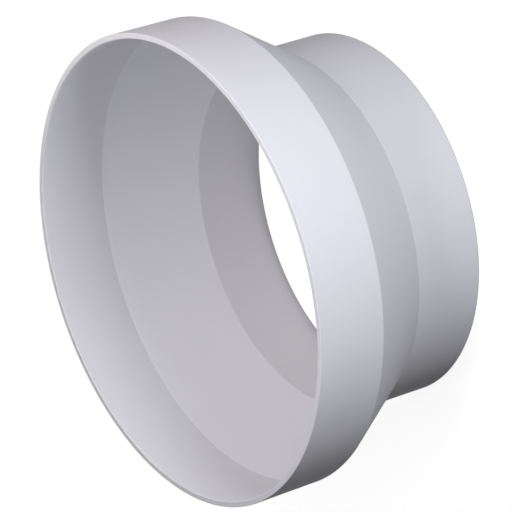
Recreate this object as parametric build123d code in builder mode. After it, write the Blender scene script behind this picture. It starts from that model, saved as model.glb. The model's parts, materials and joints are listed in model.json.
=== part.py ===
"""Concentric duct reducer: a socket for a larger round duct, a taper, and a spigot for a smaller one.

Millimetres, +Z up. The reducer stands on the rim of its spigot, with the socket's mouth facing up.
"""

import os
from math import atan2, cos, radians, tan

from build123d import *

os.makedirs("parts", exist_ok=True)

# Ducts that the reducer joins, and the radial room at each joint
large_duct_outside_diameter = 125.0
small_duct_bore_diameter = 100.0
socket_clearance = 0.15
spigot_clearance = 0.15

# Lengths along the axis, measured on the outside
spigot_length = 20.0
taper_length = 22.5
socket_length = 20.0

# Moulded section: the wall at its thinnest, and the draft of the two walls that no duct slides on
wall = 1.5
draft_angle = 0.5

# Edges: a lead-in where a duct is pushed on, and rounding elsewhere
lead_in_length = 0.4
lead_in_angle = 30.0
rim_radius = 0.2
bend_radius = 0.5
shoulder_radius = 1.0

# Mating radii: both walls are true cylinders, so a duct seats on them over their whole length
socket_bore_radius = large_duct_outside_diameter / 2 + socket_clearance
spigot_outer_radius = small_duct_bore_diameter / 2 - spigot_clearance

# The other two walls thicken from the taper towards their rims
draft = tan(radians(draft_angle))
shoulder_outer_radius = socket_bore_radius + wall
mouth_outer_radius = shoulder_outer_radius + socket_length * draft
neck_bore_radius = spigot_outer_radius - wall
tip_bore_radius = neck_bore_radius - spigot_length * draft

# Heights of the outside bends
waist_height = spigot_length
shoulder_height = waist_height + taper_length
mouth_height = shoulder_height + socket_length

# Each lead-in narrows its rim by this much
lead_in_width = lead_in_length * tan(radians(lead_in_angle))

# The taper's inside runs parallel to its outside, one wall away
taper_angle = atan2(shoulder_outer_radius - spigot_outer_radius, taper_length)


def inner_taper_height(radius):
    """Height at which the taper's inside reaches this radius."""
    outside_radius = radius + wall / cos(taper_angle)
    return waist_height + (outside_radius - spigot_outer_radius) / tan(taper_angle)


# Corners of the wall's half section as (radius, height, rounding): up the inside, then down the outside
section = [
    (tip_bore_radius, 0.0, rim_radius),
    (neck_bore_radius, inner_taper_height(neck_bore_radius), bend_radius),
    (socket_bore_radius, inner_taper_height(socket_bore_radius), bend_radius),
    (socket_bore_radius, mouth_height - lead_in_length, 0.0),
    (socket_bore_radius + lead_in_width, mouth_height, 0.0),
    (mouth_outer_radius, mouth_height, rim_radius),
    (shoulder_outer_radius, shoulder_height, shoulder_radius),
    (spigot_outer_radius, waist_height, bend_radius),
    (spigot_outer_radius, lead_in_length, 0.0),
    (spigot_outer_radius - lead_in_width, 0.0, 0.0),
]

# The reducer is its half section turned once around the duct's axis
with BuildPart() as duct_reducer:
    with BuildSketch(Plane.XZ):
        with BuildLine():
            corners = [(radius, height) for radius, height, rounding in section]
            roundings = [rounding for radius, height, rounding in section]
            FilletPolyline(*corners, radius=roundings, close=True)
        make_face()
    revolve(axis=Axis.Z)

duct_reducer.part.label = "duct_reducer"
export_step(duct_reducer.part, "parts/duct_reducer.step")
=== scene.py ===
# %% [markdown]
# # A moulded duct reducer
#
# A duct reducer joins a large round duct to a smaller one. This one is a single moulding in white
# plastic: a wide socket at the top, a cone below it, and a narrow spigot that it stands on. The packed
# part gives its sizes, so the lesson starts there. Everything is in metres, with +Z along the duct's axis
# and the floor at zero.

# %% Load the part
import json
import math

import bmesh
import bpy
from mathutils import Matrix, Vector


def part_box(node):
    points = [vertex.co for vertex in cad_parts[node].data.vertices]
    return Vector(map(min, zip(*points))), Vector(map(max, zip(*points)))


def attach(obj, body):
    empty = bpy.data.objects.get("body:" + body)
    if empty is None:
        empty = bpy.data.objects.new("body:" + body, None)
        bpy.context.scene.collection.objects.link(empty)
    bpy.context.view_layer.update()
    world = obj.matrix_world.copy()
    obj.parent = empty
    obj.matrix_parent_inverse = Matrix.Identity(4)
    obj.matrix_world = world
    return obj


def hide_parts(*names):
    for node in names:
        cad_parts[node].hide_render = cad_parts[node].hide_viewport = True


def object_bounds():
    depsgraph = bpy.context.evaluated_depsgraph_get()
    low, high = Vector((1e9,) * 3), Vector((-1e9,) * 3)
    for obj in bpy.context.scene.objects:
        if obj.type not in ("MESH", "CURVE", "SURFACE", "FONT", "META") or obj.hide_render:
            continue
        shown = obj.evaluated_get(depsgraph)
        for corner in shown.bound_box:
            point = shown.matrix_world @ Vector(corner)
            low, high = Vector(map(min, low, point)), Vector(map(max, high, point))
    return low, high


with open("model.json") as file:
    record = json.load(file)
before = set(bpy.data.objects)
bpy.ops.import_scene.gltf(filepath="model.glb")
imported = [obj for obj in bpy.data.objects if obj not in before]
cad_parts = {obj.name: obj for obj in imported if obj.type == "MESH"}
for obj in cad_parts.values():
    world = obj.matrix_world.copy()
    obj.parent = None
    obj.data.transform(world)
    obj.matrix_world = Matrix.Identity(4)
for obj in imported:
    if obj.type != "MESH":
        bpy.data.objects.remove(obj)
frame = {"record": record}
cad_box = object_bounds()
print("box of the packed part:", [tuple(round(side, 5) for side in corner) for corner in cad_box])

# %% [markdown]
# ## The sizes of the wall
#
# Two radii matter to whoever fits the part: the bore that a large duct goes into, and the outside that a
# small duct goes over. The record states both as mounts, so they are read and not typed again. The
# remaining sizes belong to the moulding: a thin wall, half a degree of draft so that it leaves its tool,
# and short lead-ins where a duct is pushed on.

# %% Read the mating sizes and name the others
mounts = {mount["name"]: mount for mount in frame["record"]["mounts"]}
socket_bore_radius = mounts["socket"]["dims"]["r_mm"] / 1000
spigot_outer_radius = mounts["spigot"]["dims"]["r_mm"] / 1000
mouth_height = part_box("duct_reducer")[1].z

wall = 0.0015
spigot_length = 0.020
socket_length = 0.020
draft_angle = math.radians(0.5)
lead_in_length = 0.0004
lead_in_angle = math.radians(30)
crisp_radius = 0.00005
rim_radius = 0.0002
bend_radius = 0.0005
shoulder_radius = 0.0010

draft = math.tan(draft_angle)
lead_in_width = lead_in_length * math.tan(lead_in_angle)
shoulder_height = mouth_height - socket_length
shoulder_outer_radius = socket_bore_radius + wall
mouth_outer_radius = shoulder_outer_radius + socket_length * draft
neck_bore_radius = spigot_outer_radius - wall
tip_bore_radius = neck_bore_radius - spigot_length * draft
print(f"socket bore {socket_bore_radius * 2000:.1f} mm, spigot {spigot_outer_radius * 2000:.1f} mm across")

# %% Keep the cone's wall even
taper_length = shoulder_height - spigot_length
taper_angle = math.atan2(shoulder_outer_radius - spigot_outer_radius, taper_length)


def inner_taper_height(radius):
    """Height at which the inside of the cone reaches this radius, one wall in from the outside."""
    outside_radius = radius + wall / math.cos(taper_angle)
    return spigot_length + (outside_radius - spigot_outer_radius) / math.tan(taper_angle)


print(f"the cone leans out by {math.degrees(taper_angle):.1f} degrees")

# %% [markdown]
# ## The half section
#
# A lathe or a round mould makes the same form from one outline, so the wall is drawn once as a half
# section, on the XZ plane. Ten vertices are enough. The soft edges of the moulding could be bevelled
# after the turn, on thousands of edges, but a bevel of the outline's own corners costs ten small arcs and
# comes out even all round.

# %% Draw the outline as one face
section_corners = [
    (tip_bore_radius, 0.0, rim_radius),
    (neck_bore_radius, inner_taper_height(neck_bore_radius), bend_radius),
    (socket_bore_radius, inner_taper_height(socket_bore_radius), bend_radius),
    (socket_bore_radius, mouth_height - lead_in_length, rim_radius),
    (socket_bore_radius + lead_in_width, mouth_height, crisp_radius),
    (mouth_outer_radius, mouth_height, rim_radius),
    (shoulder_outer_radius, shoulder_height, shoulder_radius),
    (spigot_outer_radius, spigot_length, bend_radius),
    (spigot_outer_radius, lead_in_length, rim_radius),
    (spigot_outer_radius - lead_in_width, 0.0, crisp_radius),
]
outline = bmesh.new()
corner_verts = [outline.verts.new((radius, 0, height)) for radius, height, rounding in section_corners]
section_face = outline.faces.new(corner_verts)
print("outline:", len(outline.verts), "corners,", f"{section_face.calc_area() * 1e6:.1f} square mm")

# %% Round its corners
ARC_SEGMENTS = 6


def round_corner(bm, corner, radius):
    """Replaces one corner of the outline by an arc of this radius."""
    before, after = [edge.other_vert(corner).co - corner.co for edge in corner.link_edges]
    turn = math.pi - before.angle(after)
    bmesh.ops.bevel(
        bm,
        geom=[corner],
        offset=radius * math.tan(turn / 2),
        offset_type="OFFSET",
        affect="VERTICES",
        segments=ARC_SEGMENTS,
        profile=0.5,
        material=-1,
    )


for corner, (_, _, rounding) in zip(corner_verts, section_corners):
    round_corner(outline, corner, rounding)
print("rounded outline:", len(outline.verts), "vertices")

# %% [markdown]
# ## Turn the section
#
# A spin of the outline gives the walls, both rims and every rounded edge at once. The long walls are cut
# into short bands first, so that the faces stay near square. The face goes, because only its border is
# turned, and the full turn merges its last step into its first. Recalculated normals then point out of
# the plastic.

# %% Cut the long walls and spin
BAND = 0.003
TURN_STEPS = 240
SAME_POINT = 1e-7

for edge in list(outline.edges):
    cuts = int(edge.calc_length() / BAND)
    if cuts:
        bmesh.ops.subdivide_edges(outline, edges=[edge], cuts=cuts)
bmesh.ops.delete(outline, geom=list(outline.faces), context="FACES_ONLY")
bmesh.ops.spin(
    outline,
    geom=list(outline.verts) + list(outline.edges),
    cent=(0, 0, 0),
    axis=(0, 0, 1),
    dvec=(0, 0, 0),
    angle=2 * math.pi,
    steps=TURN_STEPS,
    use_merge=True,
    use_duplicate=False,
)
bmesh.ops.remove_doubles(outline, verts=list(outline.verts), dist=SAME_POINT)
bmesh.ops.recalc_face_normals(outline, faces=list(outline.faces))
open_edges = [edge for edge in outline.edges if not edge.is_manifold]
print("turned wall:", len(outline.faces), "faces,", len(open_edges), "open edges")
print(f"plastic: {outline.calc_volume(signed=True) * 1e9:.0f} cubic millimetres")

# %% Make it an object
wall_mesh = bpy.data.meshes.new("reducer_wall")
outline.to_mesh(wall_mesh)
outline.free()
wall_mesh.shade_smooth()
reducer = bpy.data.objects.new("reducer_wall", wall_mesh)
bpy.context.scene.collection.objects.link(reducer)
print("object:", reducer.name, "with", len(wall_mesh.polygons), "faces")

# %% [markdown]
# ## Keep the walls straight in the light
#
# Smooth shading averages the normals where a straight wall meets its rounded edge, and that makes a flat
# wall look puffed. More edge loops would help, but a Weighted Normal modifier cures it: the large wall
# faces set the normals, and only the narrow arcs bend.

# %% Weight the normals by face area
even_walls = reducer.modifiers.new("even walls", "WEIGHTED_NORMAL")
even_walls.mode = "FACE_AREA"
even_walls.weight = 100
print("modifier:", even_walls.name)

# %% [markdown]
# ## Soft white plastic
#
# The moulding is plain white with a soft skin, between satin and matt. Three things keep it from looking
# like paint on a screen: the pigment is a little cloudy, the gloss changes slowly over the surface, and
# the tool leaves a very fine grain. A picture of plastic could be wrapped round the part, but it would
# show its seam. Noise on Object coordinates has none, and it stays with the part from every side.

# %% A small helper for nodes
def add_node(tree, kind, **settings):
    """Adds a node and sets its plain properties and, by name, its input values."""
    node = tree.nodes.new(kind)
    for name, value in settings.items():
        if name in node.inputs:
            node.inputs[name].default_value = value
        else:
            setattr(node, name, value)
    return node


print("helper made:", add_node.__name__)

# %% The finish
PIGMENT_DEEP = (0.765, 0.770, 0.810, 1)
PIGMENT_PALE = (0.795, 0.795, 0.835, 1)
CLOUDS_PER_METRE = 45.0
GLOSS_PATCHES_PER_METRE = 160.0
GRAINS_PER_METRE = 2500.0
GRAIN_DEPTH = 0.00003
SMOOTHEST = 0.70
ROUGHEST = 0.82


def soft_white_plastic():
    """White moulded plastic: faint clouds in the pigment, uneven gloss and a fine tool grain."""
    material = bpy.data.materials.new("soft_white_plastic")
    material.use_nodes = True
    tree = material.node_tree
    link = tree.links.new
    plastic = tree.nodes["Principled BSDF"]
    plastic.inputs["Specular IOR Level"].default_value = 0.20

    place = add_node(tree, "ShaderNodeTexCoord").outputs["Object"]

    clouds = add_node(tree, "ShaderNodeTexNoise", Scale=CLOUDS_PER_METRE, Detail=3.0, Roughness=0.55)
    pigment = add_node(tree, "ShaderNodeMix", data_type="RGBA")
    pigment.inputs["A"].default_value = PIGMENT_DEEP
    pigment.inputs["B"].default_value = PIGMENT_PALE
    link(place, clouds.inputs["Vector"])
    link(clouds.outputs["Fac"], pigment.inputs["Factor"])
    link(pigment.outputs["Result"], plastic.inputs["Base Color"])

    gloss = add_node(tree, "ShaderNodeTexNoise", Scale=GLOSS_PATCHES_PER_METRE, Detail=2.0)
    gloss_range = add_node(tree, "ShaderNodeMapRange")
    gloss_range.inputs["To Min"].default_value = SMOOTHEST
    gloss_range.inputs["To Max"].default_value = ROUGHEST
    link(place, gloss.inputs["Vector"])
    link(gloss.outputs["Fac"], gloss_range.inputs["Value"])
    link(gloss_range.outputs["Result"], plastic.inputs["Roughness"])

    grain = add_node(tree, "ShaderNodeTexNoise", Scale=GRAINS_PER_METRE, Detail=2.0)
    grain_bump = add_node(tree, "ShaderNodeBump", Strength=0.4, Distance=GRAIN_DEPTH)
    link(place, grain.inputs["Vector"])
    link(grain.outputs["Fac"], grain_bump.inputs["Height"])
    link(grain_bump.outputs["Normal"], plastic.inputs["Normal"])
    return material


wall_mesh.materials.append(soft_white_plastic())
print("finish:", wall_mesh.materials[0].name)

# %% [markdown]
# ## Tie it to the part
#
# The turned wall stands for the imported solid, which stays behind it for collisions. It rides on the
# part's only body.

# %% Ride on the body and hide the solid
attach(reducer, "root")
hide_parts("duct_reducer")
print("on the frame:", reducer.name)

# %% [markdown]
# ## The floor and the white behind it
#
# A product on white needs a floor that looks white to the camera and yet doesn't flood the part with
# light. Light Path tells the rays apart: camera, glossy and transmission rays find a floor that glows.
# Far out it is white by itself. Near the part it glows to just under white and takes the rest from the
# lamps, so it keeps the shadow. All other rays find plain grey paint. The world only carries the white on
# past the horizon, for a view from low down.

# %% Tell the eye's rays from the light's
def seen_by_eye(tree):
    """One for camera, glossy and transmission rays, and zero for light that bounces between surfaces."""
    rays = add_node(tree, "ShaderNodeLightPath")
    camera_or_glossy = add_node(tree, "ShaderNodeMath", operation="MAXIMUM")
    seen = add_node(tree, "ShaderNodeMath", operation="MAXIMUM")
    tree.links.new(rays.outputs["Is Camera Ray"], camera_or_glossy.inputs[0])
    tree.links.new(rays.outputs["Is Glossy Ray"], camera_or_glossy.inputs[1])
    tree.links.new(camera_or_glossy.outputs[0], seen.inputs[0])
    tree.links.new(rays.outputs["Is Transmission Ray"], seen.inputs[1])
    return seen.outputs[0]


world = bpy.data.worlds.new("studio")
world.use_nodes = True
sky = world.node_tree.nodes["Background"]
sky.inputs["Color"].default_value = (1, 1, 1, 1)
world.node_tree.links.new(seen_by_eye(world.node_tree), sky.inputs["Strength"])
bpy.context.scene.world = world
print("world:", world.name)

# %% Lay the floor
FLOOR_HALF_WIDTH = 30.0
FLOOR_GLOW = 0.86
FLOOR_SHADOW_SHARE = 0.32
FLOOR_PAINT = 0.20
SHADOW_REACH = 0.10
WHITE_REACH = 0.40


def white_floor():
    """White to the eye, with the part's soft shadow; plain grey paint to the light that bounces off it."""
    material = bpy.data.materials.new("white_floor")
    material.use_nodes = True
    tree = material.node_tree
    tree.nodes.clear()
    link = tree.links.new
    paint = add_node(tree, "ShaderNodeBsdfDiffuse", Color=(FLOOR_PAINT,) * 3 + (1,))
    glow = add_node(tree, "ShaderNodeEmission")
    shadow = add_node(tree, "ShaderNodeBsdfDiffuse", Color=(FLOOR_SHADOW_SHARE,) * 3 + (1,))
    white = add_node(tree, "ShaderNodeAddShader")
    choice = add_node(tree, "ShaderNodeMixShader")
    output = add_node(tree, "ShaderNodeOutputMaterial")

    place = add_node(tree, "ShaderNodeTexCoord").outputs["Object"]
    distance = add_node(tree, "ShaderNodeVectorMath", operation="LENGTH")
    glow_range = add_node(tree, "ShaderNodeMapRange", interpolation_type="SMOOTHSTEP")
    glow_range.inputs["From Min"].default_value = SHADOW_REACH
    glow_range.inputs["From Max"].default_value = WHITE_REACH
    glow_range.inputs["To Min"].default_value = FLOOR_GLOW
    link(place, distance.inputs[0])
    link(distance.outputs["Value"], glow_range.inputs["Value"])
    link(glow_range.outputs["Result"], glow.inputs["Strength"])

    link(glow.outputs[0], white.inputs[0])
    link(shadow.outputs[0], white.inputs[1])
    link(seen_by_eye(tree), choice.inputs["Fac"])
    link(paint.outputs[0], choice.inputs[1])
    link(white.outputs[0], choice.inputs[2])
    link(choice.outputs[0], output.inputs["Surface"])
    return material


floor_bm = bmesh.new()
bmesh.ops.create_grid(floor_bm, x_segments=1, y_segments=1, size=FLOOR_HALF_WIDTH)
floor_mesh = bpy.data.meshes.new("floor")
floor_bm.to_mesh(floor_mesh)
floor_bm.free()
floor_mesh.materials.append(white_floor())
floor = bpy.data.objects.new("floor", floor_mesh)
bpy.context.scene.collection.objects.link(floor)
print("floor:", 2 * FLOOR_HALF_WIDTH, "metres square")

# %% [markdown]
# ## Soft studio light
#
# A round white part shows its form only where the light falls off around it. A low soft box under the
# camera lights the near walls, and their flanks turn away from it into grey. Two more hang closer, above
# the mouth, because the inside would sink into shadow without them. A strong box behind the part and a
# weak one on its -X side keep the far walls white as well, for whoever walks round it.

# %% Hang the soft boxes
part_centre = (cad_box[0] + cad_box[1]) / 2


def toward(azimuth, elevation):
    """Unit vector at this compass angle from +X and this height above the floor, in degrees."""
    around, above = math.radians(azimuth), math.radians(elevation)
    return Vector((math.cos(around) * math.cos(above), math.sin(around) * math.cos(above), math.sin(above)))


def soft_box(name, colour, power, azimuth, elevation, distance, width, height):
    """A rectangular area lamp that faces the part from this direction."""
    lamp = bpy.data.lights.new(name, "AREA")
    lamp.shape = "RECTANGLE"
    lamp.size = width
    lamp.size_y = height
    lamp.energy = power
    lamp.color = colour
    box = bpy.data.objects.new(name, lamp)
    direction = toward(azimuth, elevation)
    box.location = part_centre + direction * distance
    box.rotation_euler = direction.to_track_quat("Z", "Y").to_euler()
    bpy.context.scene.collection.objects.link(box)


COOL = (0.95, 0.955, 1.0)
WARM = (1.0, 0.94, 0.93)
PLAIN = (1.0, 1.0, 1.0)

soft_box("key box", COOL, power=1.0, azimuth=-80, elevation=6.5, distance=0.42, width=0.08, height=0.10)
soft_box("mouth box", COOL, power=0.29, azimuth=-99, elevation=58, distance=0.31, width=0.10, height=0.045)
soft_box("side box", WARM, power=0.27, azimuth=-10, elevation=49, distance=0.24, width=0.22, height=0.10)
soft_box("rear box", PLAIN, power=3.9, azimuth=99, elevation=5, distance=0.70, width=0.16, height=0.14)
soft_box("fill box", PLAIN, power=0.15, azimuth=170, elevation=5, distance=0.80, width=0.16, height=0.14)
print("soft boxes:", [lamp.name for lamp in bpy.data.lights])

# %% [markdown]
# ## Light through the open end
#
# A duct is open at both ends, and some light comes in through the small one. Here that end stands on the
# floor, so a weak round lamp lies in it instead and shines up into the duct. It lies a little off the
# axis, because such light comes in at a slant.

# %% Light the bore
bore_lamp = bpy.data.lights.new("bore lamp", "AREA")
bore_lamp.shape = "DISK"
bore_lamp.size = 0.07
bore_lamp.energy = 0.0044
bore_lamp.color = WARM
bore_light = bpy.data.objects.new("bore lamp", bore_lamp)
bore_light.location = (-0.003, 0.0115, 0.0004)
bore_light.rotation_euler = (math.pi, 0, 0)
bpy.context.scene.collection.objects.link(bore_light)
print("bore lamp:", f"{bore_lamp.size * 1000:.1f} mm across")

# %% [markdown]
# ## The camera
#
# The view looks down into the mouth from 32 degrees above the floor, through a long lens that keeps the
# circles' shapes. The picture shows the duct lying on its side, so the camera is rolled about its own
# axis and the part stays upright in its frame.

# %% Set the camera
camera_elevation = math.radians(32)
camera_roll = math.radians(-107.4)
camera_distance = 1.119
camera_aim = Vector((-0.0024, -0.0115, 0.0441))

camera_data = bpy.data.cameras.new("camera")
camera_data.lens = 300.0
camera_data.sensor_width = 36.0
camera = bpy.data.objects.new("camera", camera_data)
tilt = Matrix.Rotation(math.pi / 2 - camera_elevation, 4, "X") @ Matrix.Rotation(camera_roll, 4, "Z")
camera.matrix_world = Matrix.Translation(camera_aim) @ tilt @ Matrix.Translation((0, 0, camera_distance))
bpy.context.scene.collection.objects.link(camera)
bpy.context.scene.camera = camera
bpy.context.scene.view_settings.view_transform = "Standard"
print("camera at", tuple(round(place, 4) for place in camera.matrix_world.translation))
